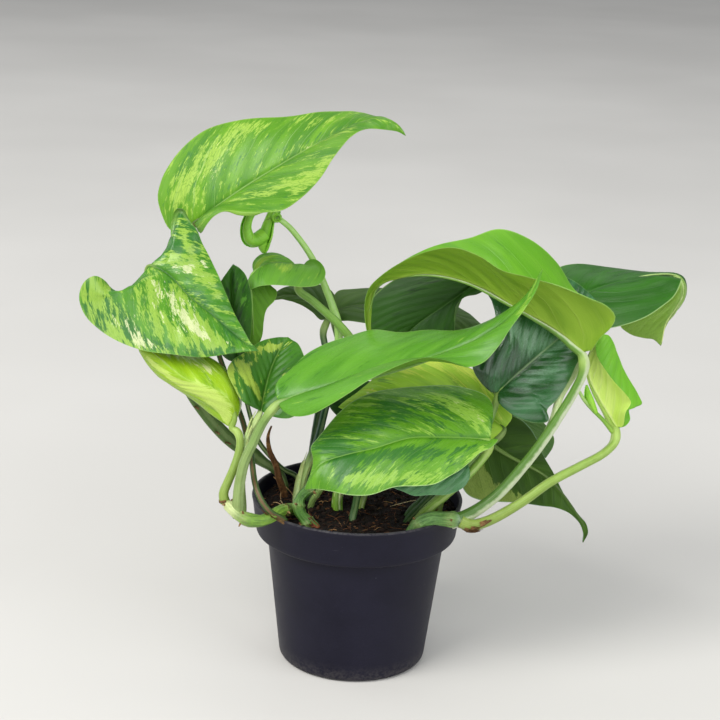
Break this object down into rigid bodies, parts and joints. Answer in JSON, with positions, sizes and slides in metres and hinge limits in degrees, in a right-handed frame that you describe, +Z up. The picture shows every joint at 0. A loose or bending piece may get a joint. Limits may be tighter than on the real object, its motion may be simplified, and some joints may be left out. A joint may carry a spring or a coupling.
{
  "type": "potted pothos plant",
  "caption": "Bushy young pothos with variegated heart-shaped leaves on curving petioles, growing from compost in a dark tapered nursery pot with a banded rim and slotted foot.",
  "frame": {"origin": "centre of the pot's flat underside, where it rests", "axes": "+Z up along the pot's axis; +X to the right and -Y towards the viewer in the pictured view, so the plant is widest along X"},
  "size_m": [0.3404, 0.1553, 0.3128],
  "materials": {
    "pot": "moulded polypropylene, satin, finely scuffed",
    "soil": "damp coir compost, crumbly",
    "stem": "ribbed green vine stem with brown node rings",
    "dry": "dried brown petiole",
    "leaf_green": "waxy mid-green leaf",
    "leaf_lime": "young yellow-green leaf",
    "leaf_variegated": "leaf marbled dark green, lime and cream",
    "leaf_dark": "old dark green leaf"
  },
  "bodies": {
    "root": {"pot": "pot", "soil": "soil", "vine_left": "stem", "vine_right": "stem", "vine_centre": "stem", "stem_stub": "stem", "dry_petiole": "dry", "leaf_top": "leaf_variegated", "leaf_left_variegated": "leaf_variegated", "leaf_left_low": "leaf_lime", "leaf_left_dark": "leaf_dark", "leaf_centre_curled": "leaf_green", "leaf_rolled": "leaf_lime", "leaf_back_small": "leaf_dark", "leaf_back_long": "leaf_dark", "leaf_left_round": "leaf_dark", "leaf_front_long": "leaf_green", "leaf_right_arching": "leaf_green", "leaf_centre_hanging": "leaf_dark", "leaf_right_dark": "leaf_dark", "leaf_right_far": "leaf_dark", "leaf_right_young": "leaf_lime", "leaf_right_drooping": "leaf_green", "leaf_right_hidden": "leaf_green", "leaf_front_variegated": "leaf_variegated", "leaf_front_second": "leaf_lime", "leaf_front_small": "leaf_dark", "leaf_inner_dark": "leaf_dark"}
  },
  "joints": []
}
